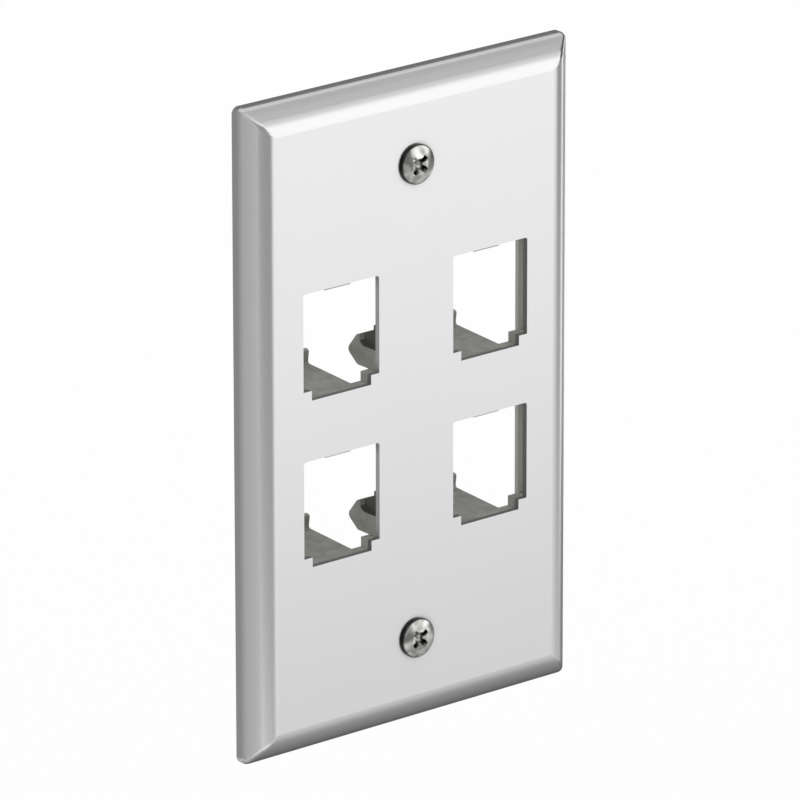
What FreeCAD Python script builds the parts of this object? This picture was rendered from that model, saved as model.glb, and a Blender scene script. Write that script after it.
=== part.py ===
import FreeCAD, Part
import math
import os
import Sketcher

# Four-port stainless steel wall plate for snap-in data jacks, with its cast
# jack carrier and its two fixing screws. Sizes are in millimetres and degrees.
# The plate stands upright: X to the right, Y into the wall, Z up. The origin is
# the middle of the plate, on the wall plane that the rim of the plate touches.

doc = FreeCAD.newDocument("faceplate")
sheet = doc.addObject("Spreadsheet::Sheet", "Sizes")

DRIVING_SIZES = {
    # stamped plate, each bend given by the radius on its inside
    "plate_width": 69.85,
    "plate_height": 114.3,
    "plate_depth": 4.8,
    "plate_gauge": 1.0,
    "rim_height": 1.8,
    "bevel_width": 3.6,
    "face_inside_radius": 3.4,
    "rim_inside_radius": 0.3,
    "corner_inside_radius": 0.2,
    # jack ports, in two columns and two rows
    "column_pitch": 32.0,
    "row_pitch": 29.2,
    "port_width": 16.1,
    "port_height": 17.0,
    "port_corner_radius": 0.5,
    "slot_width": 12.6,
    "slot_drop": 1.7,
    # fixing screws
    "screw_spacing": 83.34,
    "screw_diameter": 3.5,
    "screw_clearance": 0.5,
    "screw_length": 25.4,
    "screw_point": 0.6,
    "neck_diameter": 3.0,
    "neck_length": 1.6,
    "head_diameter": 6.9,
    "head_side": 0.9,
    "head_height": 2.1,
    "head_round": 0.5,
    "recess_span": 3.6,
    "recess_web": 0.85,
    "recess_depth": 1.3,
    "recess_draft": 8.0,
    "recess_core": 1.9,
    "recess_tip": 0.5,
    "recess_turn_top": 43.0,
    "recess_turn_bottom": 48.0,
    # cast carrier behind the plate
    "carrier_base": 1.8,
    "carrier_border": 3.5,
    "carrier_corner_radius": 1.5,
    "rail_width": 1.7,
    "rail_depth": 2.1,
    "groove_width": 1.1,
    "groove_depth": 1.3,
    "window_relief": 1.6,
    "catch_width": 5.4,
    "catch_drop": 0.6,
    # side ears of the carrier, beside each port's inner edge
    "ear_thickness": 1.8,
    "ear_height": 7.4,
    "ear_reach": 7.5,
    "ear_nose_height": 2.1,
    "ear_toe_reach": 4.8,
    "ear_shoulder_reach": 5.0,
    "ear_shoulder_height": 5.2,
    "ear_round": 0.9,
    "notch_reach": 4.2,
    "notch_floor": 3.6,
    "notch_depth": 1.1,
    "notch_round": 1.2,
    # hooked tongues of the carrier, under each port
    "tongue_width": 9.7,
    "tongue_drop": 0.5,
    "tongue_rise": 0.75,
    "tongue_thickness": 1.3,
    "tongue_reach": 13.9,
    "tongue_bend_radius": 1.2,
    "hook_height": 2.5,
    "hook_thickness": 1.3,
    "hook_lean": 0.35,
    "hook_round": 0.5,
}

for row, (alias, value) in enumerate(DRIVING_SIZES.items(), start=1):
    sheet.set("A%d" % row, alias)
    sheet.set("B%d" % row, str(value))
    sheet.setAlias("B%d" % row, alias)
doc.recompute()

# The bend of a mitred corner stays within this share of the rim's bend
CORNER_SHARE = 0.9

# Lengths that several features share, as expressions over the sheet
BEVEL_DROP = "(Sizes.plate_depth - Sizes.rim_height)"
BEVEL_RUN = "sqrt(pow(%s; 2) + pow(Sizes.bevel_width; 2))" % BEVEL_DROP
HOLLOW_DEPTH = "(Sizes.plate_depth - Sizes.plate_gauge)"
CORNER_INSIDE = "min(Sizes.corner_inside_radius; Sizes.rim_inside_radius * %s)" % CORNER_SHARE
GROUP_HEIGHT = "(Sizes.port_height + Sizes.slot_drop)"

# The upper right port. The other three are its mirror image and its copies.
PORT_MIDDLE = "(Sizes.column_pitch / 2)"
PORT_INNER = "(%s - Sizes.port_width / 2)" % PORT_MIDDLE
PORT_OUTER = "(%s + Sizes.port_width / 2)" % PORT_MIDDLE
PORT_TOP = "(Sizes.row_pitch / 2 + %s / 2)" % GROUP_HEIGHT
PORT_STEP = "(%s - Sizes.port_height)" % PORT_TOP
PORT_BOTTOM = "(%s - Sizes.slot_drop)" % PORT_STEP
SLOT_INNER = "(%s - Sizes.slot_width / 2)" % PORT_MIDDLE
SLOT_OUTER = "(%s + Sizes.slot_width / 2)" % PORT_MIDDLE

# Parts of the carrier, measured from its front face and from the upper right port
EAR_TOP = "(%s + Sizes.ear_height)" % PORT_STEP
NOTCH_FLOOR = "(%s + Sizes.notch_floor)" % PORT_STEP
EAR_SLOPE = "((Sizes.ear_height - Sizes.ear_shoulder_height) / Sizes.ear_shoulder_reach)"
NOTCH_WALL = "(Sizes.ear_height - Sizes.notch_reach * %s - Sizes.notch_floor)" % EAR_SLOPE
TONGUE_TOP = "(%s - Sizes.tongue_drop)" % PORT_BOTTOM
TONGUE_UNDERSIDE = "(%s - Sizes.tongue_thickness)" % TONGUE_TOP
HOOK_FOOT = "(%s + Sizes.tongue_rise)" % TONGUE_TOP
HOOK_UNDERSIDE = "(%s + Sizes.tongue_rise)" % TONGUE_UNDERSIDE
HOOK_BACK = "(Sizes.tongue_reach + Sizes.hook_thickness)"
HOOK_TOP = "(%s + Sizes.hook_height)" % HOOK_FOOT

# A fillet takes at most this share of the wall that it rounds
WALL_SHARE = 0.45
NEAR = 0.001


def measure(expression):
    """Value of an expression over the sheet, as a number."""
    return float(sheet.evalExpression(expression))


def limited(radius, wall):
    """A fillet's radius, kept within its share of a wall."""
    return "min(%s; %s * %s)" % (radius, WALL_SHARE, wall)


def make_body(label):
    """A new body. Its label is the name of its node."""
    body = doc.addObject("PartDesign::Body", label)
    body.Label = label
    return body


def origin_feature(body, role):
    """One origin plane or axis of a body."""
    return next(item for item in body.Origin.OriginFeatures if item.Role == role)


def make_sketch(body, name, role, offset=None):
    """A sketch on an origin plane, moved along the plane's normal by an expression."""
    sketch = body.newObject("Sketcher::SketchObject", name)
    sketch.AttachmentSupport = [(origin_feature(body, role), "")]
    sketch.MapMode = "FlatFace"
    if offset:
        sketch.setExpression("AttachmentOffset.Base.z", offset)
    doc.recompute()
    return sketch


def bind(sketch, kind, *elements, to):
    """A constraint whose size is an expression."""
    index = sketch.addConstraint(Sketcher.Constraint(kind, *elements, measure(to)))
    sketch.setExpression("Constraints[%d]" % index, to)


def place_point(place):
    """The point of a sketch that a pair of expressions gives."""
    return FreeCAD.Vector(measure(place[0]), measure(place[1]), 0)


def hold_point(sketch, element, end, place):
    """Hold one point of a sketch at a pair of expressions, along and up the sketch."""
    bind(sketch, "DistanceX", -1, 1, element, end, to=place[0])
    bind(sketch, "DistanceY", -1, 1, element, end, to=place[1])


def add_run(sketch, places):
    """Straight lines from place to place, each joined to the next."""
    points = [place_point(place) for place in places]
    lines = [
        sketch.addGeometry(Part.LineSegment(start, end), False)
        for start, end in zip(points, points[1:])
    ]
    for line, following in zip(lines, lines[1:]):
        sketch.addConstraint(Sketcher.Constraint("Coincident", line, 2, following, 1))
    for line, place in zip(lines, places):
        hold_point(sketch, line, 1, place)
    return lines


def add_outline(sketch, places):
    """A closed outline through places, each a pair of expressions."""
    lines = add_run(sketch, places + places[:1])
    sketch.addConstraint(Sketcher.Constraint("Coincident", lines[-1], 2, lines[0], 1))
    doc.recompute()


def add_rectangle(sketch, low_u, low_v, high_u, high_v):
    """A rectangle between two corners, each side an expression."""
    add_outline(sketch, [(low_u, low_v), (high_u, low_v), (high_u, high_v), (low_u, high_v)])


def add_rounded_rectangle(sketch, half_width, half_height, radius):
    """A rectangle about the sketch's origin, with rounded corners."""
    arcs = []
    for quarter, (u, v) in enumerate(((1, 1), (-1, 1), (-1, -1), (1, -1))):
        middle = ("%d * (%s - %s)" % (u, half_width, radius), "%d * (%s - %s)" % (v, half_height, radius))
        circle = Part.Circle(place_point(middle), FreeCAD.Vector(0, 0, 1), measure(radius))
        start = quarter * math.pi / 2
        arc = sketch.addGeometry(Part.ArcOfCircle(circle, start, start + math.pi / 2), False)
        hold_point(sketch, arc, 3, middle)
        bind(sketch, "Radius", arc, to=radius)
        arcs.append(arc)
    for arc, following in zip(arcs, arcs[1:] + arcs[:1]):
        ends = Part.LineSegment(sketch.getPoint(arc, 2), sketch.getPoint(following, 1))
        side = sketch.addGeometry(ends, False)
        sketch.addConstraint(Sketcher.Constraint("Tangent", arc, 2, side, 1))
        sketch.addConstraint(Sketcher.Constraint("Tangent", side, 2, following, 1))
    doc.recompute()


def add_circle(sketch, place, diameter):
    """A circle with its centre and diameter as expressions."""
    circle = Part.Circle(place_point(place), FreeCAD.Vector(0, 0, 1), measure(diameter) / 2)
    ring = sketch.addGeometry(circle, False)
    hold_point(sketch, ring, 3, place)
    bind(sketch, "Diameter", ring, to=diameter)
    doc.recompute()


def add_pad(body, sketch, name, length, reverse=False, midplane=False):
    """Material from a sketch over a length."""
    pad = body.newObject("PartDesign::Pad", name)
    pad.Profile = sketch
    pad.setExpression("Length", length)
    pad.Reversed = reverse
    pad.Midplane = midplane
    doc.recompute()
    return pad


def add_pocket(body, sketch, name, length=None, reverse=False, draft=None):
    """A cut from a sketch over a length, or right through. It has to take material away."""
    before = body.Shape.Volume
    pocket = body.newObject("PartDesign::Pocket", name)
    pocket.Profile = sketch
    pocket.Reversed = reverse
    if length:
        pocket.setExpression("Length", length)
    else:
        pocket.Type = "ThroughAll"
    if draft:
        pocket.setExpression("TaperAngle", draft)
    doc.recompute()
    if not pocket.Shape.Volume < before - NEAR:
        raise ValueError(name + " cuts nothing")
    return pocket


def add_turned(body, kind, name, profile):
    """Material, or a cut, that a profile makes by a full turn about the body's Y axis."""
    turned = body.newObject("PartDesign::" + kind, name)
    turned.Profile = profile
    turned.ReferenceAxis = (origin_feature(body, "Y_Axis"), [""])
    turned.Angle = 360
    doc.recompute()


def picked(base, wanted):
    """Names of the edges of a feature that wanted picks by their two ends."""
    return [
        "Edge%d" % number
        for number, edge in enumerate(base.Shape.Edges, start=1)
        if wanted(edge.firstVertex(True).Point, edge.lastVertex(True).Point)
    ]


def add_fillet(body, name, radius, wanted):
    """A fillet on the edges of the body's tip that wanted picks."""
    base = body.Tip
    fillet = body.newObject("PartDesign::Fillet", name)
    fillet.Base = (base, picked(base, wanted))
    fillet.setExpression("Radius", radius)
    doc.recompute()


def add_chamfer(body, name, down_side, across_front, wanted):
    """A chamfer of two lengths on the edges of the body's tip that wanted picks."""
    base = body.Tip
    chamfer = body.newObject("PartDesign::Chamfer", name)
    chamfer.Base = (base, picked(base, wanted))
    chamfer.ChamferType = "Two distances"
    chamfer.setExpression("Size", down_side)
    chamfer.setExpression("Size2", across_front)
    doc.recompute()


def along(axis, start, end):
    """Whether an edge runs along one axis only."""
    moved = [abs(a - b) for a, b in zip(start, end)]
    main = moved["xyz".index(axis)]
    return main > NEAR and sum(moved) - main < NEAR


def level(start, end, y):
    """Whether both ends of an edge lie at one depth."""
    return abs(start.y - y) < NEAR and abs(end.y - y) < NEAR


def repeat_at_ports(body, name, originals):
    """Repeat features of the upper right port at the other three ports."""
    repeat = body.newObject("PartDesign::MultiTransform", name)
    mirror = body.newObject("PartDesign::Mirrored", name + "_columns")
    mirror.MirrorPlane = (origin_feature(body, "YZ_Plane"), [""])
    rows = body.newObject("PartDesign::LinearPattern", name + "_rows")
    rows.Direction = (origin_feature(body, "Z_Axis"), [""])
    rows.Reversed = True
    rows.Occurrences = 2
    rows.setExpression("Length", "Sizes.row_pitch")
    repeat.Originals = originals
    repeat.Transformations = [mirror, rows]
    body.Tip = repeat
    doc.recompute()


def make_dish(label, skin):
    """The block that the inside of the stamped sheet would fill, grown by a skin.

    It has a bevelled front, and all its bends are round. The plate is this block
    grown by its gauge, less the block itself, so the sheet keeps its gauge over
    the face, the bevel and the rim.
    """
    body = make_body(label)
    half_width = "(Sizes.plate_width / 2 - Sizes.plate_gauge + %s)" % skin
    half_height = "(Sizes.plate_height / 2 - Sizes.plate_gauge + %s)" % skin
    depth = "(%s + %s)" % (HOLLOW_DEPTH, skin)
    bend_share = "(%s - %s) / Sizes.bevel_width" % (BEVEL_RUN, BEVEL_DROP)
    rim = "(Sizes.rim_height - (Sizes.plate_gauge - %s) * %s)" % (skin, bend_share)
    drop = "(%s - %s)" % (depth, rim)
    bevel = "(%s * Sizes.bevel_width / %s)" % (drop, BEVEL_DROP)

    outline = make_sketch(body, label + "_outline", "XZ_Plane")
    add_rectangle(outline, "-" + half_width, "-" + half_height, half_width, half_height)
    add_pad(body, outline, label + "_block", depth)
    front = -measure(depth)
    add_chamfer(body, label + "_bevel", drop, bevel, lambda a, b: level(a, b, front))

    bend_line = -measure(rim)
    width = measure(half_width)
    height = measure(half_height)

    def on_mitre(point):
        return abs((width - abs(point.x)) - (height - abs(point.z))) < NEAR

    def mitre(a, b):
        return on_mitre(a) and on_mitre(b) and abs(a.y - b.y) > NEAR

    face_radius = "Sizes.face_inside_radius + %s" % skin
    rim_radius = "Sizes.rim_inside_radius + %s" % skin
    corner_radius = "%s + %s" % (CORNER_INSIDE, skin)
    add_fillet(body, label + "_face_bend", face_radius, lambda a, b: level(a, b, front))
    add_fillet(body, label + "_rim_bend", rim_radius, lambda a, b: level(a, b, bend_line))
    add_fillet(body, label + "_corners", corner_radius, mitre)
    return body


def add_port_outline(sketch):
    """The upper right port and its slot, with the port's two upper corners rounded."""
    radius = "Sizes.port_corner_radius"
    high = "(%s - %s)" % (PORT_TOP, radius)
    outer = "(%s - %s)" % (PORT_OUTER, radius)
    inner = "(%s + %s)" % (PORT_INNER, radius)
    sides = add_run(sketch, [
        (PORT_INNER, high),
        (PORT_INNER, PORT_STEP),
        (SLOT_INNER, PORT_STEP),
        (SLOT_INNER, PORT_BOTTOM),
        (SLOT_OUTER, PORT_BOTTOM),
        (SLOT_OUTER, PORT_STEP),
        (PORT_OUTER, PORT_STEP),
        (PORT_OUTER, high),
    ])
    top = add_run(sketch, [(outer, PORT_TOP), (inner, PORT_TOP)])
    hold_point(sketch, sides[-1], 2, (PORT_OUTER, high))
    hold_point(sketch, top[-1], 2, (inner, PORT_TOP))
    corners = ((outer, sides[-1], top[0], 0), (inner, top[-1], sides[0], math.pi / 2))
    for middle, before, after, start in corners:
        circle = Part.Circle(place_point((middle, high)), FreeCAD.Vector(0, 0, 1), measure(radius))
        arc = sketch.addGeometry(Part.ArcOfCircle(circle, start, start + math.pi / 2), False)
        sketch.addConstraint(Sketcher.Constraint("Coincident", before, 2, arc, 1))
        sketch.addConstraint(Sketcher.Constraint("Coincident", arc, 2, after, 1))
        bind(sketch, "Radius", arc, to=radius)
    doc.recompute()


def make_wall_plate():
    """The stamped stainless plate, open behind, with its ports and screw holes."""
    body = make_dish("wall_plate", "Sizes.plate_gauge")
    hollow = make_dish("plate_hollow", "0")
    dish = body.newObject("PartDesign::Boolean", "wall_plate_dish")
    dish.setObjects([hollow])
    dish.Type = "Cut"
    body.Tip = dish
    doc.recompute()

    sketch = make_sketch(body, "port_shape", "XZ_Plane")
    add_port_outline(sketch)
    port = add_pocket(body, sketch, "port", reverse=True)
    repeat_at_ports(body, "ports", [port])

    hole_diameter = "Sizes.screw_diameter + Sizes.screw_clearance"
    sketch = make_sketch(body, "screw_hole_shape", "XZ_Plane")
    for sign in ("", "-"):
        add_circle(sketch, ("0", sign + "Sizes.screw_spacing / 2"), hole_diameter)
    add_pocket(body, sketch, "screw_holes", reverse=True)
    return body


def make_module_carrier():
    """The casting that holds the jacks, seated flat on the back of the plate's face.

    It is modelled from its front face at local y = 0 and then moved to its seat.
    """
    body = make_body("module_carrier")
    half_width = "(%s + Sizes.rail_width)" % PORT_OUTER
    half_height = "(%s + Sizes.carrier_border)" % PORT_TOP
    sketch = make_sketch(body, "base_outline", "XZ_Plane")
    add_rounded_rectangle(sketch, half_width, half_height, "Sizes.carrier_corner_radius")
    add_pad(body, sketch, "base", "Sizes.carrier_base", reverse=True)

    rail_end = "(%s - Sizes.carrier_corner_radius)" % half_height
    sketch = make_sketch(body, "rail_shape", "XZ_Plane")
    add_rectangle(sketch, PORT_OUTER, "-" + rail_end, half_width, rail_end)
    add_rectangle(sketch, "-" + half_width, "-" + rail_end, "-" + PORT_OUTER, rail_end)
    add_pad(body, sketch, "rails", "Sizes.rail_depth", reverse=True)

    station = [add_window(body), add_groove(body), add_ear(body), add_notch(body), add_tongue(body)]
    repeat_at_ports(body, "stations", station)
    round_carrier(body)
    body.setExpression("Placement.Base.y", "-" + HOLLOW_DEPTH)
    doc.recompute()
    return body


def add_window(body):
    """The opening behind the upper right port.

    It is the port's outline, set back beside the inner edge above the ear, with
    a catch for the jack's latch that hangs below the port's top edge.
    """
    relief = "(%s - Sizes.window_relief)" % PORT_INNER
    catch_edge = "(%s - Sizes.catch_drop)" % PORT_TOP
    catch_inner = "(%s - Sizes.catch_width / 2)" % PORT_MIDDLE
    catch_outer = "(%s + Sizes.catch_width / 2)" % PORT_MIDDLE
    sketch = make_sketch(body, "window_shape", "XZ_Plane")
    add_outline(sketch, [
        (SLOT_INNER, PORT_BOTTOM),
        (SLOT_OUTER, PORT_BOTTOM),
        (SLOT_OUTER, PORT_STEP),
        (PORT_OUTER, PORT_STEP),
        (PORT_OUTER, PORT_TOP),
        (catch_outer, PORT_TOP),
        (catch_outer, catch_edge),
        (catch_inner, catch_edge),
        (catch_inner, PORT_TOP),
        (relief, PORT_TOP),
        (relief, EAR_TOP),
        (PORT_INNER, EAR_TOP),
        (PORT_INNER, PORT_STEP),
        (SLOT_INNER, PORT_STEP),
    ])
    return add_pocket(body, sketch, "window", "Sizes.carrier_base")


def add_groove(body):
    """The groove in the front of the rail beside the upper right port's outer edge."""
    start = "(%s + Sizes.catch_width / 2)" % PORT_MIDDLE
    end = "(%s + Sizes.groove_width)" % PORT_OUTER
    sketch = make_sketch(body, "groove_shape", "XZ_Plane")
    add_rectangle(sketch, start, PORT_STEP, end, PORT_TOP)
    return add_pocket(body, sketch, "groove", "Sizes.groove_depth")


def add_ear(body):
    """The side ear that guides a jack, beside the upper right port's inner edge."""
    sketch = make_sketch(body, "ear_shape", "YZ_Plane", PORT_INNER)
    add_outline(sketch, [
        ("0", PORT_STEP),
        ("Sizes.ear_toe_reach", PORT_STEP),
        ("Sizes.ear_reach", PORT_STEP + " + Sizes.ear_nose_height"),
        ("Sizes.ear_shoulder_reach", PORT_STEP + " + Sizes.ear_shoulder_height"),
        ("0", EAR_TOP),
    ])
    return add_pad(body, sketch, "ear", "Sizes.ear_thickness", reverse=True)


def add_notch(body):
    """The shallow step in the upper front corner of the ear, on its port side."""
    sketch = make_sketch(body, "notch_shape", "YZ_Plane", PORT_INNER)
    add_rectangle(sketch, "0", NOTCH_FLOOR, "Sizes.notch_reach", EAR_TOP)
    return add_pocket(body, sketch, "notch", "Sizes.notch_depth")


def add_tongue(body):
    """The tongue under the upper right port, with the hook that a jack snaps behind."""
    sketch = make_sketch(body, "tongue_shape", "YZ_Plane", PORT_MIDDLE)
    add_outline(sketch, [
        ("0", TONGUE_UNDERSIDE),
        (HOOK_BACK, HOOK_UNDERSIDE),
        (HOOK_BACK + " - Sizes.hook_lean", HOOK_TOP),
        ("Sizes.tongue_reach - Sizes.hook_lean", HOOK_TOP),
        ("Sizes.tongue_reach", HOOK_FOOT),
        ("0", TONGUE_TOP),
    ])
    return add_pad(body, sketch, "tongue", "Sizes.tongue_width", midplane=True)


def round_carrier(body):
    """Round the cast corners of the ears, notches and hooked tongues."""

    def crosswise(*places):
        """Picks the edges that run across the plate at one of places, in either row."""
        pitch = measure("Sizes.row_pitch")
        spots = [(measure(y), measure(z) - drop) for y, z in places for drop in (0, pitch)]
        return lambda a, b: along("x", a, b) and any(
            abs(a.y - y) < NEAR and abs(a.z - z) < NEAR for y, z in spots
        )

    add_fillet(body, "ear_rounding", limited("Sizes.ear_round", "Sizes.ear_nose_height * 2"), crosswise(
        ("Sizes.ear_reach", PORT_STEP + " + Sizes.ear_nose_height"),
        ("Sizes.ear_shoulder_reach", PORT_STEP + " + Sizes.ear_shoulder_height"),
        ("Sizes.ear_toe_reach", PORT_STEP),
    ))
    add_fillet(body, "notch_rounding", limited("Sizes.notch_round", NOTCH_WALL + " * 2"), crosswise(
        ("Sizes.notch_reach", NOTCH_FLOOR),
    ))
    add_fillet(body, "tongue_bend", "Sizes.tongue_bend_radius", crosswise(
        (HOOK_BACK, HOOK_UNDERSIDE),
    ))
    add_fillet(body, "hook_rounding", limited("Sizes.hook_round", "Sizes.hook_thickness"), crosswise(
        ("Sizes.tongue_reach - Sizes.hook_lean", HOOK_TOP),
        (HOOK_BACK + " - Sizes.hook_lean", HOOK_TOP),
        ("Sizes.tongue_reach", HOOK_FOOT),
    ))


def make_screw(label, height, turn):
    """A cross-recessed pan-head screw, its head seated on the face of the plate.

    Its local y = 0 is the underside of the head, and the shank runs along +Y.
    """
    body = make_body(label)
    profile = make_sketch(body, label + "_profile", "XY_Plane")
    add_screw_profile(profile)
    add_turned(body, "Revolution", label + "_turned", profile)
    add_recess(body, label)
    body.Placement = FreeCAD.Placement(FreeCAD.Vector(), FreeCAD.Rotation(FreeCAD.Vector(0, 1, 0), 1))
    body.setExpression("Placement.Rotation.Angle", turn)
    body.setExpression("Placement.Base.y", "-Sizes.plate_depth")
    body.setExpression("Placement.Base.z", height)
    doc.recompute()
    return body


def add_screw_profile(sketch):
    """Half section of a screw: its neck and shank, its head's side, and its dome.

    The dome is an arc about a point on the axis. It starts at the crown and would
    meet the line of the side at the height head_side. A smaller arc rounds that
    meeting.
    """
    head = "Sizes.head_diameter / 2"
    neck = "Sizes.neck_diameter / 2"
    shank = "Sizes.screw_diameter / 2"
    shoulder = "Sizes.neck_length + %s - %s" % (shank, neck)
    crown = ("0", "-Sizes.head_height")
    lines = add_run(sketch, [
        (head, "0"),
        (neck, "0"),
        (neck, "Sizes.neck_length"),
        (shank, shoulder),
        (shank, "Sizes.screw_length - Sizes.screw_point"),
        (shank + " - Sizes.screw_point", "Sizes.screw_length"),
        ("0", "Sizes.screw_length"),
        crown,
    ])
    hold_point(sketch, lines[-1], 2, crown)

    rise = "(Sizes.head_height - Sizes.head_side)"
    dome_radius = "(pow(%s; 2) + pow(%s; 2)) / (2 * %s)" % (head, rise, rise)
    head_round = limited("Sizes.head_round", "Sizes.head_side * 2")
    reach = measure(head)
    big = measure(dome_radius)
    small = measure(head_round)
    dome_middle = FreeCAD.Vector(0, big - measure("Sizes.head_height"), 0)
    lift = math.sqrt((big - small) ** 2 - (reach - small) ** 2)
    round_middle = FreeCAD.Vector(reach - small, dome_middle.y - lift, 0)
    meeting = math.atan2(-lift, reach - small)
    up = FreeCAD.Vector(0, 0, 1)
    dome_circle = Part.Circle(dome_middle, up, big)
    round_circle = Part.Circle(round_middle, up, small)
    dome = sketch.addGeometry(Part.ArcOfCircle(dome_circle, -math.pi / 2, meeting), False)
    rounding = sketch.addGeometry(Part.ArcOfCircle(round_circle, meeting, 0), False)
    side_ends = (FreeCAD.Vector(reach, round_middle.y, 0), FreeCAD.Vector(reach, 0, 0))
    side = sketch.addGeometry(Part.LineSegment(*side_ends), False)
    sketch.addConstraint(Sketcher.Constraint("Coincident", lines[-1], 2, dome, 1))
    sketch.addConstraint(Sketcher.Constraint("PointOnObject", dome, 3, -2))
    sketch.addConstraint(Sketcher.Constraint("Tangent", dome, 2, rounding, 1))
    sketch.addConstraint(Sketcher.Constraint("Tangent", rounding, 2, side, 1))
    sketch.addConstraint(Sketcher.Constraint("Coincident", side, 2, lines[0], 1))
    sketch.addConstraint(Sketcher.Constraint("Vertical", side))
    bind(sketch, "Radius", dome, to=dome_radius)
    bind(sketch, "Radius", rounding, to=head_round)
    doc.recompute()


def add_recess(body, label):
    """The cross recess: four drafted arms and the cone between them."""
    span = "Sizes.recess_span / 2"
    web = "Sizes.recess_web / 2"
    arm = [(span, web), (web, web), (web, span)]
    cross = make_sketch(body, label + "_cross", "XZ_Plane", "Sizes.head_height")
    add_outline(
        cross,
        arm
        + [("-" + u, v) for u, v in reversed(arm)]
        + [("-" + u, "-" + v) for u, v in arm]
        + [(u, "-" + v) for u, v in reversed(arm)],
    )
    add_pocket(body, cross, label + "_recess", "Sizes.recess_depth", draft="-Sizes.recess_draft")

    floor = "Sizes.recess_depth - Sizes.head_height"
    cone = make_sketch(body, label + "_core_profile", "XY_Plane")
    add_outline(cone, [
        ("0", "-Sizes.head_height"),
        ("Sizes.recess_core / 2", "-Sizes.head_height"),
        (web, floor),
        ("0", floor + " + Sizes.recess_tip"),
    ])
    add_turned(body, "Groove", label + "_core", cone)


def check_and_write(bodies):
    """Stop on any failed object or bad shape, then write one STEP file per node."""
    doc.recompute()
    for item in doc.Objects:
        if {"Invalid", "Error"} & set(item.State):
            raise ValueError("%s is %s" % (item.Name, item.State))
    for body in bodies:
        if body.Shape.isNull() or not body.Shape.isValid() or len(body.Shape.Solids) != 1:
            raise ValueError(body.Label + " has no single valid solid")
    os.makedirs("parts", exist_ok=True)
    for body in bodies:
        body.Shape.exportStep("parts/%s.step" % body.Label)
        print(body.Label, round(body.Shape.Volume, 1), "mm3")


check_and_write([
    make_wall_plate(),
    make_module_carrier(),
    make_screw("screw_top", "Sizes.screw_spacing / 2", "Sizes.recess_turn_top"),
    make_screw("screw_bottom", "-Sizes.screw_spacing / 2", "Sizes.recess_turn_bottom"),
])
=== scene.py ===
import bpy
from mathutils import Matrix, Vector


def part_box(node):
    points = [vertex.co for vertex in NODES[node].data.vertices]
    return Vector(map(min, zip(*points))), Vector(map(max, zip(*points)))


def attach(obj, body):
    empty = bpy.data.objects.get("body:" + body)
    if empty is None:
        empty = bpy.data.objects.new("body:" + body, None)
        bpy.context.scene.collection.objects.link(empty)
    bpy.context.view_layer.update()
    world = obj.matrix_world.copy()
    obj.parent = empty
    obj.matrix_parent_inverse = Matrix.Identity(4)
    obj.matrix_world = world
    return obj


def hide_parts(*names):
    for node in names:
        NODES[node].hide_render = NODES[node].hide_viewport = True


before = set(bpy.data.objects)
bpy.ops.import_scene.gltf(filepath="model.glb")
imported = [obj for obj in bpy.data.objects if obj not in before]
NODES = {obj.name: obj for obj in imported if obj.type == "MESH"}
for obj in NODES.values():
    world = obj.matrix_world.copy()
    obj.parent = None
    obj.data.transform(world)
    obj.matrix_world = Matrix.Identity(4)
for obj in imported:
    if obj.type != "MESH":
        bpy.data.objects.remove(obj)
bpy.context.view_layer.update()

import math

import bmesh
import bpy
from mathutils import Matrix, Vector

# The looks of a four-port stainless steel wall plate, its cast jack carrier and its two screws.
# Lengths are in metres. X is to the right, Y into the wall and Z up. The origin is the middle
# of the plate, on the wall plane.

MM = 0.001
PLATE_LOW, PLATE_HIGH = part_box("wall_plate")
FACE_Y = PLATE_LOW.y
# How far above and below the middle of the plate the screws are
SCREW_LOW, SCREW_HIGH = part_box("screw_top")
SCREW_HEIGHT = (SCREW_LOW.z + SCREW_HIGH.z) / 2

# The bevels' slight crown starts this far in from the plate's edge. Its curvature is per metre.
CROWN_START = 2.6 * MM
CROWN_CURVE = 150.0
# The ports and screw holes lie at least this far in from the plate's edge
INSIDE_MARGIN = 6.0 * MM

# Distances to either side of the plate's upright middle line. The ports' inner upright edges lie
# nearer than INNER_EDGE_X, and the carrier's outer rails lie beyond RAIL_X.
INNER_EDGE_X = 8.9 * MM
RAIL_X = 23.9 * MM
# The notches in the carrier's ears, measured the same way: their floors, and their walls, which
# stand between those and the ports
NOTCH_FLOOR_X = 6.85 * MM
NOTCH_FLOOR_MARGIN = 0.1 * MM
NOTCH_WALL_X = 7.35 * MM
NOTCH_WALL_MARGIN = 0.55 * MM

# Shares of a surface's normal along an axis. Cut edges have less than CUT_SHARE along Y, and the
# level ones among them more than LEVEL_SHARE along Z. The ears' edges have less than EDGE_SHARE
# along X, and the carrier's flat front and back have more than FLAT_SHARE along Y.
CUT_SHARE = 0.2
LEVEL_SHARE = 0.7
EDGE_SHARE = 0.5
FLAT_SHARE = 0.95

# The brushed sheet. Stretches of its noises are per metre. Painted shade in a crease is darkest where
# the free share of its surroundings, out to a reach, is at the low end of a span, and it isn't
# darkened where that is at the high end. Cut edges are rougher by CUT_ROUGHER.
GRAIN_STRETCH = (9000.0, 9000.0, 160.0)
STREAK_STRETCH = (900.0, 900.0, 14.0)
CLOUD_STRETCH = (30.0, 30.0, 22.0)
CLOUD_SPAN = (0.35, 0.65)
CLOUD_MOST = 0.5
SHEET_TONES = ((0.892, 0.877, 0.892), (0.912, 0.897, 0.912))
SHEET_CLOUD = (0.88, 0.88, 0.89)
SHEET_PAINTED_SHADE = (0.55, 0.55, 0.54)
SHEET_SHADE_REACH = 3.0 * MM
SHEET_SHADE_SPAN = (0.6, 0.97)
SHEET_CUT = (0.38, 0.38, 0.37)
SHEET_ROUGHNESS = (0.2, 0.27)
CUT_ROUGHER = 0.4
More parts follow.
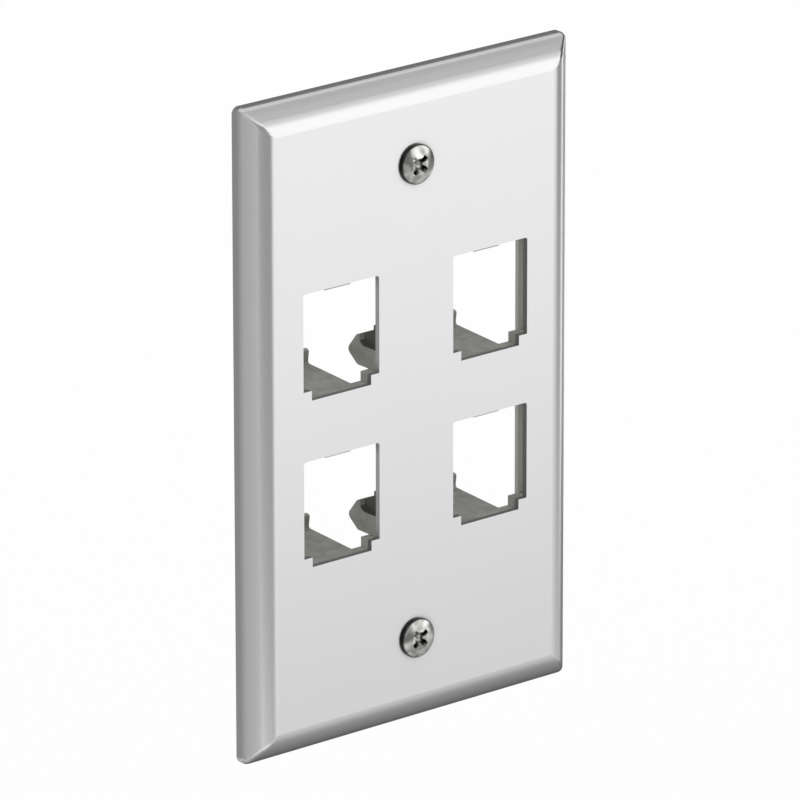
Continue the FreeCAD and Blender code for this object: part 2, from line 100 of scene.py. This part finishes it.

# The casting. Scales of its noises are per metre. Its rails are lightened with painted light, and its
# corners and notches darkened with painted shade.
CAST_METALLIC = 0.6
MOTTLE_SCALE = 450.0
PIT_SCALE = 3200.0
CAST_TONES = ((0.55, 0.55, 0.51), (0.69, 0.69, 0.65))
CAST_TONE_SPAN = (0.35, 0.65)
CAST_RAIL_PAINTED_LIGHT = (0.92, 0.92, 0.87)
CAST_PAINTED_SHADE = (0.38, 0.38, 0.36)
CAST_SHADE_REACH = 0.6 * MM
CAST_SHADE_SPAN = (0.25, 0.75)
CAST_NOTCH_SHADE = (0.2, 0.21, 0.19)
CAST_ROUGHNESS = (0.42, 0.58)

# The screws. Their tones are a blotchy painted reflection. Painted shade darkens their creases,
# and turns their heads nearly black over the head's rim, a span measured from the screw's axis.
SCUFF_SCALE = 1500.0
REFLECTION_BLOTCH_SCALE = 480.0
SCREW_REFLECTION_TONES = ((0.9, 0.9, 0.87), (0.45, 0.45, 0.42))
SCREW_REFLECTION_SPAN = (0.42, 0.6)
SCREW_PAINTED_SHADE = (0.05, 0.05, 0.045)
SCREW_SHADE_REACH = 1.0 * MM
SCREW_SHADE_SPAN = (0.25, 0.75)
SCREW_EDGE_SHADE = (0.03, 0.03, 0.03)
SCREW_EDGE_SHADE_SPAN = (3.15 * MM, 3.4 * MM)
SCREW_ROUGHNESS = (0.12, 0.26)

# Threads of the screws, 32 to the inch, behind each screw's plain neck. The crest and the two
# flanks take these shares of the pitch, and the root takes the rest.
NECK_LENGTH = 1.85 * MM
THREAD_PITCH = 25.4 / 32 * MM
THREAD_DEPTH = 0.48 * MM
THREAD_CREST = 0.14
THREAD_FLANKS = 0.62
THREAD_SIDES = 40
RINGS_PER_TURN = 10
SCREW_RADIUS = 1.75 * MM

# Screw heads. Their side, up to HEAD_SIDE over the face, and the dome over it keep these shares
# of their rise. Within RECESS_RADIUS of the axis, what lies at most RECESS_FLOOR over the face is
# the recess's floor.
HEAD_SIDE = 0.9 * MM
SIDE_SHARE = 0.62
DOME_SHARE = 0.55
RECESS_FLOOR = 0.85 * MM
RECESS_RADIUS = 1.9 * MM
RECESS_DEEPER = 0.75 * MM
RECESS_WIDENING = 0.65
SHARP_ANGLE = math.radians(35)

# The photograph's view: azimuth 0 looks along +Y, and a positive one stands to the left. The
# camera is moved right and up in its own image plane, and the focal length is in pixels.
CAMERA_AZIMUTH = math.radians(39.377)
CAMERA_ELEVATION = math.radians(19.05)
CAMERA_ROLL = math.radians(-0.076)
CAMERA_DISTANCE = 1.50114
CAMERA_RIGHT = 0.311 * MM
CAMERA_UP = -0.775 * MM
CLIP_NEAR = 0.05
CLIP_FAR = 50.0
FOCAL_PIXELS = 9000.0
IMAGE_PIXELS = 800
SENSOR_MM = 36.0

# The studio. The world's strength is the first of its span as light on the object, and the
# second where it is seen. FLOOR_GLOW is the share of plain white in the floor where it is seen.
WHITE = (1.0, 1.0, 1.0, 1.0)
WORLD_STRENGTH = (0.7, 1.0)
FLOOR_Z = -0.36
FLOOR_REACH = 6.0
FLOOR_GLOW = 0.975
CARD_FOOT = -0.34
CARD_HEAD = 0.6
CEILING = 0.5

# Grey cards that the metal reflects, each graded evenly from one grey to another. The upright
# ones: name, (x, y) of both ends, lowest and highest z, greys, and the axis that they follow
UPRIGHT_CARDS = (
    ("card_left_near", ((-0.45, -0.62), (-0.45, -0.42)), (CARD_FOOT, CARD_HEAD), (0.51, 0.51), "Y"),
    ("card_left", ((-0.45, -0.42), (-0.45, 0.4)), (CARD_FOOT, CARD_HEAD), (0.49, 0.25), "Y"),
    ("card_front", ((-0.45, -0.62), (0.22, -0.74)), (CARD_FOOT, 0.4), (0.33, 0.28), "X"),
    ("card_back_left", ((-0.45, 0.4), (-0.05, 0.4)), (CARD_FOOT, CARD_HEAD), (0.26, 0.24), "X"),
    ("card_back_right", ((-0.05, 0.4), (0.64, 0.4)), (CARD_FOOT, 0.04), (0.13, 0.07), "X"),
    ("card_back_high", ((-0.05, 0.4), (0.64, 0.4)), (0.04, CARD_HEAD), (0.16, 0.16), "X"),
    ("card_right_low", ((0.62, -0.32), (0.62, 0.12)), (CARD_FOOT, 0.02), (0.62, 0.06), "Z"),
    ("card_right_high", ((0.62, -0.3), (0.62, 0.4)), (0.02, CEILING), (0.05, 0.05), "Z"),
)
# The level ones, graded from front to back: name, left and right, front and back, height, greys
LEVEL_CARDS = (
    ("card_under", (0.0, 0.62), (-0.1, 0.4), CARD_FOOT, (0.3, 0.07)),
    ("card_under_front", (0.0, 1.0), (-0.35, -0.1), CARD_FOOT, (0.6, 0.3)),
    ("card_under_left", (-0.4, 0.0), (-0.3, 0.35), CARD_FOOT, (0.4, 0.36)),
    ("card_floor_near", (0.0, 1.2), (-0.64, -0.35), CARD_FOOT, (0.69, 0.58)),
    ("card_floor_middle", (0.0, 1.2), (-0.84, -0.64), CARD_FOOT, (1.0, 0.7)),
    ("card_floor_right", (0.62, 0.86), (0.08, 0.5), CARD_FOOT, (0.4, 0.4)),
    ("card_top_back", (-0.2, 0.6), (-0.02, 0.4), CEILING, (0.72, 0.6)),
    ("card_top_dip", (-0.2, 0.6), (-0.1, -0.02), CEILING, (0.4, 0.4)),
    ("card_top", (-0.2, 0.8), (-0.3, -0.1), CEILING, (0.54, 0.54)),
    ("card_top_front", (-0.2, 1.2), (-0.64, -0.3), CEILING, (0.94, 0.55)),
)


# Parts of node trees


def cleared_tree(owner):
    """Emptied node tree of a material or a world, and the surface socket of its new output."""
    owner.use_nodes = True
    tree = owner.node_tree
    tree.nodes.clear()
    kind = "World" if isinstance(owner, bpy.types.World) else "Material"
    output = tree.nodes.new("ShaderNodeOutput" + kind)
    return tree, output.inputs["Surface"]


def value_of(tree, operation, *terms):
    """Result of a sum on sockets or numbers."""
    node = tree.nodes.new("ShaderNodeMath")
    node.operation = operation
    for socket, term in zip(node.inputs, terms):
        if isinstance(term, float):
            socket.default_value = term
        else:
            tree.links.new(term, socket)
    return node.outputs["Value"]


def both(tree, first, second):
    """1 where two masks are both 1."""
    return value_of(tree, "MULTIPLY", first, second)


def either(tree, first, second):
    """1 where one of two masks is 1."""
    return value_of(tree, "MAXIMUM", first, second)


def near(tree, value, middle, margin):
    """1 where a value lies within a margin of a middle, and 0 elsewhere."""
    offset = value_of(tree, "ABSOLUTE", value_of(tree, "SUBTRACT", value, middle))
    return value_of(tree, "LESS_THAN", offset, margin)


def remap(tree, value, span, source=(0.0, 1.0)):
    """A value carried from a source span to another span, and kept within it."""
    ranger = tree.nodes.new("ShaderNodeMapRange")
    for name, limit in zip(("From Min", "From Max", "To Min", "To Max"), source + span):
        ranger.inputs[name].default_value = limit
    tree.links.new(value, ranger.inputs["Value"])
    return ranger.outputs["Result"]


def spread(tree, value, source):
    """A value's source span spread over 0 to 1."""
    return remap(tree, value, (0.0, 1.0), source)


def blend_colours(tree, fac, first, second):
    """First colour where fac is 0, second where it is 1. Each is a colour or a socket."""
    mixer = tree.nodes.new("ShaderNodeMix")
    mixer.data_type = "RGBA"
    tree.links.new(fac, mixer.inputs["Factor"])
    for socket, colour in ((mixer.inputs[6], first), (mixer.inputs[7], second)):
        if isinstance(colour, tuple):
            socket.default_value = (*colour, 1.0)
        else:
            tree.links.new(colour, socket)
    return mixer.outputs[2]


def split(tree, vector):
    """The X, Y and Z of a vector, by name."""
    parts = tree.nodes.new("ShaderNodeSeparateXYZ")
    tree.links.new(vector, parts.inputs["Vector"])
    return parts.outputs


def object_point(tree, stretch=(1.0, 1.0, 1.0)):
    """Object coordinates, stretched in each direction."""
    place = tree.nodes.new("ShaderNodeTexCoord")
    mapping = tree.nodes.new("ShaderNodeMapping")
    mapping.inputs["Scale"].default_value = stretch
    tree.links.new(place.outputs["Object"], mapping.inputs["Vector"])
    return mapping.outputs["Vector"]


def from_middle(tree):
    """Distances sideways and upward from the middle of the plate, either way."""
    place = tree.nodes.new("ShaderNodeTexCoord")
    parts = split(tree, place.outputs["Object"])
    return [value_of(tree, "ABSOLUTE", parts[axis]) for axis in "XZ"]


def facing(tree, axis):
    """Share of a surface's normal along an axis, either way."""
    geometry = tree.nodes.new("ShaderNodeNewGeometry")
    return value_of(tree, "ABSOLUTE", split(tree, geometry.outputs["Normal"])[axis])


def noise(tree, vector, scale=1.0, detail=2.0, roughness=0.5):
    """Value of a noise texture."""
    texture = tree.nodes.new("ShaderNodeTexNoise")
    texture.inputs["Scale"].default_value = scale
    texture.inputs["Detail"].default_value = detail
    texture.inputs["Roughness"].default_value = roughness
    tree.links.new(vector, texture.inputs["Vector"])
    return texture.outputs["Fac"]


def openness(tree, distance, source):
    """0 in a crease and 1 in the open, from the share of near surroundings that is free."""
    crease = tree.nodes.new("ShaderNodeAmbientOcclusion")
    crease.inputs["Distance"].default_value = distance
    return spread(tree, crease.outputs["AO"], source)


def bump(tree, height, strength, distance, below=None):
    """Normal that a height value bends, over another bent normal if one is given."""
    node = tree.nodes.new("ShaderNodeBump")
    node.inputs["Strength"].default_value = strength
    node.inputs["Distance"].default_value = distance
    tree.links.new(height, node.inputs["Height"])
    if below:
        tree.links.new(below, node.inputs["Normal"])
    return node.outputs["Normal"]


def metal(name, metallic):
    """A new material, its node tree and its shader."""
    material = bpy.data.materials.new(name)
    tree, surface = cleared_tree(material)
    shader = tree.nodes.new("ShaderNodeBsdfPrincipled")
    shader.inputs["Metallic"].default_value = metallic
    tree.links.new(shader.outputs["BSDF"], surface)
    return material, tree, shader


def finish_metal(tree, shader, colour, roughness, normal):
    """Join what the nodes work out to a shader."""
    tree.links.new(colour, shader.inputs["Base Color"])
    tree.links.new(roughness, shader.inputs["Roughness"])
    tree.links.new(normal, shader.inputs["Normal"])


# Materials of the part


def crown(tree):
    """Height of a slight crown over the bevels, which turns them down towards the rim."""
    sideways, upward = from_middle(tree)
    beyond_side = value_of(tree, "SUBTRACT", sideways, PLATE_HIGH.x - CROWN_START)
    beyond_end = value_of(tree, "SUBTRACT", upward, PLATE_HIGH.z - CROWN_START)
    beyond = value_of(tree, "MAXIMUM", beyond_side, beyond_end)
    reach = value_of(tree, "MAXIMUM", beyond, 0.0)
    square = value_of(tree, "MULTIPLY", reach, reach)
    return value_of(tree, "MULTIPLY", square, -CROWN_CURVE / 2)


def sheared(tree):
    """1 on the cut edges of the ports and screw holes, and 0 elsewhere."""
    edgewise = value_of(tree, "LESS_THAN", facing(tree, "Y"), CUT_SHARE)
    sideways, upward = from_middle(tree)
    inside = value_of(tree, "LESS_THAN", sideways, PLATE_HIGH.x - INSIDE_MARGIN)
    within = value_of(tree, "LESS_THAN", upward, PLATE_HIGH.z - INSIDE_MARGIN)
    return both(tree, edgewise, both(tree, inside, within))


def brushed_steel():
    """Stainless sheet with a fine upright grain, and painted shade in its creases and close to the
    screws.

    Its cut edges are darker and duller. Upright ones near its middle line are only duller.
    """
    material, tree, shader = metal("brushed_steel", metallic=1.0)
    grain = noise(tree, object_point(tree, GRAIN_STRETCH), detail=3.0, roughness=0.6)
    streak = noise(tree, object_point(tree, STREAK_STRETCH))
    cloud = noise(tree, object_point(tree, CLOUD_STRETCH))
    tone = blend_colours(tree, streak, *SHEET_TONES)
    tone = blend_colours(tree, remap(tree, cloud, (0.0, CLOUD_MOST), CLOUD_SPAN), tone, SHEET_CLOUD)
    # Painted shade: the sheet's creases and its face round the screw heads are darkened where shade
    # falls
    clear = openness(tree, SHEET_SHADE_REACH, SHEET_SHADE_SPAN)
    tone = blend_colours(tree, clear, SHEET_PAINTED_SHADE, tone)
    cut = sheared(tree)
    outer = value_of(tree, "GREATER_THAN", from_middle(tree)[0], INNER_EDGE_X)
    level = value_of(tree, "GREATER_THAN", facing(tree, "Z"), LEVEL_SHARE)
    tone = blend_colours(tree, both(tree, cut, either(tree, outer, level)), tone, SHEET_CUT)
    rougher = value_of(tree, "MULTIPLY", cut, CUT_ROUGHER)
    rough = value_of(tree, "ADD", remap(tree, grain, SHEET_ROUGHNESS), rougher)
    crowned = bump(tree, crown(tree), strength=1.0, distance=1.0)
    brushed = bump(tree, grain, strength=0.03, distance=0.02 * MM, below=crowned)
    finish_metal(tree, shader, tone, rough, brushed)
    return material


def notch_shade_mask(tree):
    """1 where painted shade goes, in each notch of the carrier's ears and on the ears' edges, and 0
    elsewhere.
    """
    sideways = from_middle(tree)[0]
    floor = near(tree, sideways, NOTCH_FLOOR_X, NOTCH_FLOOR_MARGIN)
    wall = near(tree, sideways, NOTCH_WALL_X, NOTCH_WALL_MARGIN)
    edgewise = value_of(tree, "LESS_THAN", facing(tree, "X"), EDGE_SHARE)
    off_flat = value_of(tree, "LESS_THAN", facing(tree, "Y"), FLAT_SHARE)
    return both(tree, either(tree, floor, both(tree, wall, edgewise)), off_flat)


def cast_metal():
    """Grey cast zinc with a dull, faintly pitted skin, painted light on its rails, and painted shade
    in its corners and in each notch of its ears.
    """
    material, tree, shader = metal("cast_metal", metallic=CAST_METALLIC)
    point = object_point(tree)
    mottle = noise(tree, point, scale=MOTTLE_SCALE, detail=4.0)
    pits = noise(tree, point, scale=PIT_SCALE, detail=3.0)
    # Painted light: the rails behind the plate's edge are lightened where the plate shades them
    lit_rail = value_of(tree, "GREATER_THAN", from_middle(tree)[0], RAIL_X)
    tone = blend_colours(tree, spread(tree, mottle, CAST_TONE_SPAN), *CAST_TONES)
    tone = blend_colours(tree, lit_rail, tone, CAST_RAIL_PAINTED_LIGHT)
    # Painted shade: the casting's corners and creases are darkened where shade falls
    clear = openness(tree, CAST_SHADE_REACH, CAST_SHADE_SPAN)
    tone = blend_colours(tree, clear, CAST_PAINTED_SHADE, tone)
    # Painted shade: each notch in the ears, and the ears' edges, are darkened nearly black
    tone = blend_colours(tree, notch_shade_mask(tree), tone, CAST_NOTCH_SHADE)
    pitted = bump(tree, pits, strength=0.25, distance=0.03 * MM)
    finish_metal(tree, shader, tone, remap(tree, mottle, CAST_ROUGHNESS), pitted)
    return material


def from_screw(tree):
    """Distance from the axis of the nearer fixing screw."""
    across, upward = from_middle(tree)
    offset = value_of(tree, "SUBTRACT", upward, SCREW_HEIGHT)
    squares = [value_of(tree, "MULTIPLY", side, side) for side in (across, offset)]
    return value_of(tree, "SQRT", value_of(tree, "ADD", *squares))


def screw_steel():
    """Plated steel with a blotchy painted reflection, and painted shade, nearly black, round the side
    of the head and deep in its recess.
    """
    material, tree, shader = metal("screw_steel", metallic=1.0)
    point = object_point(tree)
    scuffs = noise(tree, point, scale=SCUFF_SCALE, detail=3.0)
    reflection_blotches = noise(tree, point, scale=REFLECTION_BLOTCH_SCALE, detail=1.0)
    # Painted shade: the side of each head is darkened nearly black
    edge_shade = spread(tree, from_screw(tree), SCREW_EDGE_SHADE_SPAN)
    # Painted reflection: random patches between a bright and a dark tone stand in for the head's
    # blotchy reflections
    tone = blend_colours(tree, spread(tree, reflection_blotches, SCREW_REFLECTION_SPAN), *SCREW_REFLECTION_TONES)
    # Painted shade: the recess and the foot of each head are darkened where shade falls
    clear = openness(tree, SCREW_SHADE_REACH, SCREW_SHADE_SPAN)
    tone = blend_colours(tree, clear, SCREW_PAINTED_SHADE, tone)
    tone = blend_colours(tree, edge_shade, tone, SCREW_EDGE_SHADE)
    scuffed = bump(tree, scuffs, strength=0.08, distance=0.02 * MM)
    finish_metal(tree, shader, tone, remap(tree, scuffs, SCREW_ROUGHNESS), scuffed)
    return material


# Studio


def seen_directly(tree):
    """1 for what the camera, metal and glass see, and 0 for what lights the object."""
    path = tree.nodes.new("ShaderNodeLightPath")
    by_eye_or_metal = either(tree, path.outputs["Is Camera Ray"], path.outputs["Is Glossy Ray"])
    return either(tree, by_eye_or_metal, path.outputs["Is Transmission Ray"])


def make_world():
    """Soft white surroundings that light the object at a plain level."""
    world = bpy.data.worlds.new("studio")
    bpy.context.scene.world = world
    tree, surface = cleared_tree(world)
    background = tree.nodes.new("ShaderNodeBackground")
    background.inputs["Color"].default_value = WHITE
    strength = remap(tree, seen_directly(tree), WORLD_STRENGTH)
    tree.links.new(strength, background.inputs["Strength"])
    tree.links.new(background.outputs["Background"], surface)


def floor_material():
    """Pale floor that shows almost white, with the object's faint shadow on it."""
    material = bpy.data.materials.new("floor_white")
    tree, surface = cleared_tree(material)
    diffuse = tree.nodes.new("ShaderNodeBsdfDiffuse")
    diffuse.inputs["Color"].default_value = WHITE
    glow = tree.nodes.new("ShaderNodeEmission")
    mixer = tree.nodes.new("ShaderNodeMixShader")
    share = remap(tree, seen_directly(tree), (0.0, FLOOR_GLOW))
    tree.links.new(share, mixer.inputs["Fac"])
    tree.links.new(diffuse.outputs["BSDF"], mixer.inputs[1])
    tree.links.new(glow.outputs["Emission"], mixer.inputs[2])
    tree.links.new(mixer.outputs["Shader"], surface)
    return material


def card_material(name, greys, axis):
    """A glow that grades evenly from one grey to another along an axis."""
    material = bpy.data.materials.new(name)
    tree, surface = cleared_tree(material)
    glow = tree.nodes.new("ShaderNodeEmission")
    place = tree.nodes.new("ShaderNodeTexCoord")
    parts = split(tree, place.outputs["Generated"])
    tree.links.new(remap(tree, parts[axis], greys), glow.inputs["Color"])
    tree.links.new(glow.outputs["Emission"], surface)
    return material


def add_sheet(name, corners, material):
    """A flat four-cornered sheet of the studio."""
    mesh = bpy.data.meshes.new(name)
    mesh.from_pydata(corners, [], [(0, 1, 2, 3)])
    mesh.materials.append(material)
    sheet = bpy.data.objects.new(name, mesh)
    bpy.context.scene.collection.objects.link(sheet)
    return sheet


def add_card(name, corners, greys, axis):
    """A grey card out of the camera's sight, for the metal to reflect."""
    card = add_sheet(name, corners, card_material(name, greys, axis))
    card.visible_camera = False
    card.visible_shadow = False


def level_corners(left, right, front, back, height):
    """Corners of a level rectangle."""
    return [(left, front, height), (right, front, height), (right, back, height), (left, back, height)]


def add_lamp(name, place, size, energy):
    """A square soft lamp aimed at the middle of the plate."""
    data = bpy.data.lights.new(name, "AREA")
    data.shape = "SQUARE"
    data.size = size
    data.energy = energy
    lamp = bpy.data.objects.new(name, data)
    lamp.location = place
    lamp.rotation_euler = (-Vector(place)).to_track_quat("-Z", "Y").to_euler()
    bpy.context.scene.collection.objects.link(lamp)


def make_studio():
    """Floor, cards and lamps."""
    floor = level_corners(-FLOOR_REACH, FLOOR_REACH, -FLOOR_REACH, FLOOR_REACH, FLOOR_Z)
    add_sheet("floor", floor, floor_material())
    for name, (start, end), (low, high), greys, axis in UPRIGHT_CARDS:
        add_card(name, [(*start, low), (*end, low), (*end, high), (*start, high)], greys, axis)
    for name, (left, right), (front, back), height, greys in LEVEL_CARDS:
        add_card(name, level_corners(left, right, front, back, height), greys, "Y")
    add_lamp("key", place=(1.1, -1.4, 0.2), size=1.2, energy=0.5)
    add_lamp("fill", place=(-1.2, -1.2, 1.0), size=0.8, energy=1.5)


def make_camera():
    """The photograph's viewing angle and framing."""
    back = Vector((
        -math.sin(CAMERA_AZIMUTH) * math.cos(CAMERA_ELEVATION),
        -math.cos(CAMERA_AZIMUTH) * math.cos(CAMERA_ELEVATION),
        math.sin(CAMERA_ELEVATION),
    ))
    right = (-back).cross(Vector((0, 0, 1))).normalized()
    up = right.cross(-back)
    data = bpy.data.cameras.new("photo_camera")
    data.sensor_fit = "HORIZONTAL"
    data.sensor_width = SENSOR_MM
    data.lens = FOCAL_PIXELS * SENSOR_MM / IMAGE_PIXELS
    data.clip_start = CLIP_NEAR
    data.clip_end = CLIP_FAR
    camera = bpy.data.objects.new("photo_camera", data)
    place = back * CAMERA_DISTANCE + right * CAMERA_RIGHT + up * CAMERA_UP
    turned_right = right * math.cos(CAMERA_ROLL) + up * math.sin(CAMERA_ROLL)
    turned_up = up * math.cos(CAMERA_ROLL) - right * math.sin(CAMERA_ROLL)
    basis = Matrix((turned_right, turned_up, back)).transposed()
    camera.matrix_world = Matrix.Translation(place) @ basis.to_4x4()
    bpy.context.scene.collection.objects.link(camera)
    bpy.context.scene.camera = camera


# Pieces of the part


def dress(node, material):
    """Give a CAD node its material."""
    slots = NODES[node].data.materials
    slots.clear()
    slots.append(material)


def thread_share(phase):
    """Depth of the thread at a phase of its turn, from 0 at its crest to 1 at its root."""
    flank = (abs(phase - 0.5) * 2 - THREAD_CREST) / THREAD_FLANKS
    return min(max(flank, 0.0), 1.0)


def threaded_shank(low, high, centre):
    """A closed shank along Y with a right-hand thread between two depths.

    Over one turn at each end, the thread runs out into a shank of its root's radius.
    """
    count = int((high - low) / THREAD_PITCH * RINGS_PER_TURN)
    shank = bmesh.new()
    rings = []
    for step in range(count + 1):
        y = low + (high - low) * step / count
        fade = min(1.0, (high - y) / THREAD_PITCH, (y - low) / THREAD_PITCH)
        crest = SCREW_RADIUS - THREAD_DEPTH * (1 - fade)
        ring = []
        for side in range(THREAD_SIDES):
            angle = 2 * math.pi * side / THREAD_SIDES
            phase = ((y - low) / THREAD_PITCH + angle / (2 * math.pi)) % 1.0
            radius = crest - THREAD_DEPTH * thread_share(phase) * fade
            place = (centre.x + radius * math.cos(angle), y, centre.z + radius * math.sin(angle))
            ring.append(shank.verts.new(place))
        rings.append(ring)
    for ring, following in zip(rings, rings[1:]):
        for side in range(THREAD_SIDES):
            after = (side + 1) % THREAD_SIDES
            shank.faces.new((ring[side], ring[after], following[after], following[side]))
    shank.faces.new(rings[0])
    shank.faces.new(list(reversed(rings[-1])))
    bmesh.ops.recalc_face_normals(shank, faces=shank.faces)
    return shank


def reshape_head(vertex, centre):
    """Flatten a screw's head at one vertex, or deepen its recess there, and widen the recess."""
    rise = FACE_Y - vertex.co.y
    if rise <= 0:
        return
    reach = math.hypot(vertex.co.x - centre.x, vertex.co.z - centre.z)
    if rise > HEAD_SIDE:
        vertex.co.y = FACE_Y - HEAD_SIDE * SIDE_SHARE - (rise - HEAD_SIDE) * DOME_SHARE
    elif rise <= RECESS_FLOOR and reach < RECESS_RADIUS:
        vertex.co.y += RECESS_DEEPER
    else:
        vertex.co.y = FACE_Y - rise * SIDE_SHARE
    if reach < RECESS_RADIUS:
        widening = 1 + RECESS_WIDENING * (1 - reach / RECESS_RADIUS)
        vertex.co.x = centre.x + (vertex.co.x - centre.x) * widening
        vertex.co.z = centre.z + (vertex.co.z - centre.z) * widening


def screw_head(node, end, centre):
    """A screw's own head and neck, cut off and closed at a depth, with its head reshaped."""
    head = bmesh.new()
    head.from_mesh(NODES[node].data)
    everything = head.verts[:] + head.edges[:] + head.faces[:]
    cut = bmesh.ops.bisect_plane(
        head, geom=everything, plane_co=(0, end, 0), plane_no=(0, 1, 0), clear_outer=True
    )
    rim = [item for item in cut["geom_cut"] if isinstance(item, bmesh.types.BMEdge)]
    bmesh.ops.contextual_create(head, geom=rim)
    for vertex in head.verts:
        reshape_head(vertex, centre)
    return head


def make_screw(node, material):
    """A screw with the node's own head and neck, and a threaded shank in place of its smooth one."""
    low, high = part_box(node)
    centre = (low + high) / 2
    thread_start = FACE_Y + NECK_LENGTH
    shank = threaded_shank(thread_start, high.y, centre)
    shank_mesh = bpy.data.meshes.new(node + "_thread")
    shank.to_mesh(shank_mesh)
    shank.free()
    whole = screw_head(node, thread_start, centre)
    whole.from_mesh(shank_mesh)
    bpy.data.meshes.remove(shank_mesh)
    mesh = bpy.data.meshes.new(node + "_threaded")
    whole.to_mesh(mesh)
    whole.free()
    mesh.shade_smooth()
    mesh.set_sharp_from_angle(angle=SHARP_ANGLE)
    mesh.materials.append(material)
    screw = bpy.data.objects.new(node + "_threaded", mesh)
    bpy.context.scene.collection.objects.link(screw)
    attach(screw, "root")
    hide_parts(node)


bpy.context.scene.view_settings.view_transform = "Standard"
make_world()
make_studio()
make_camera()
dress("wall_plate", brushed_steel())
dress("module_carrier", cast_metal())
plated = screw_steel()
make_screw("screw_top", plated)
make_screw("screw_bottom", plated)
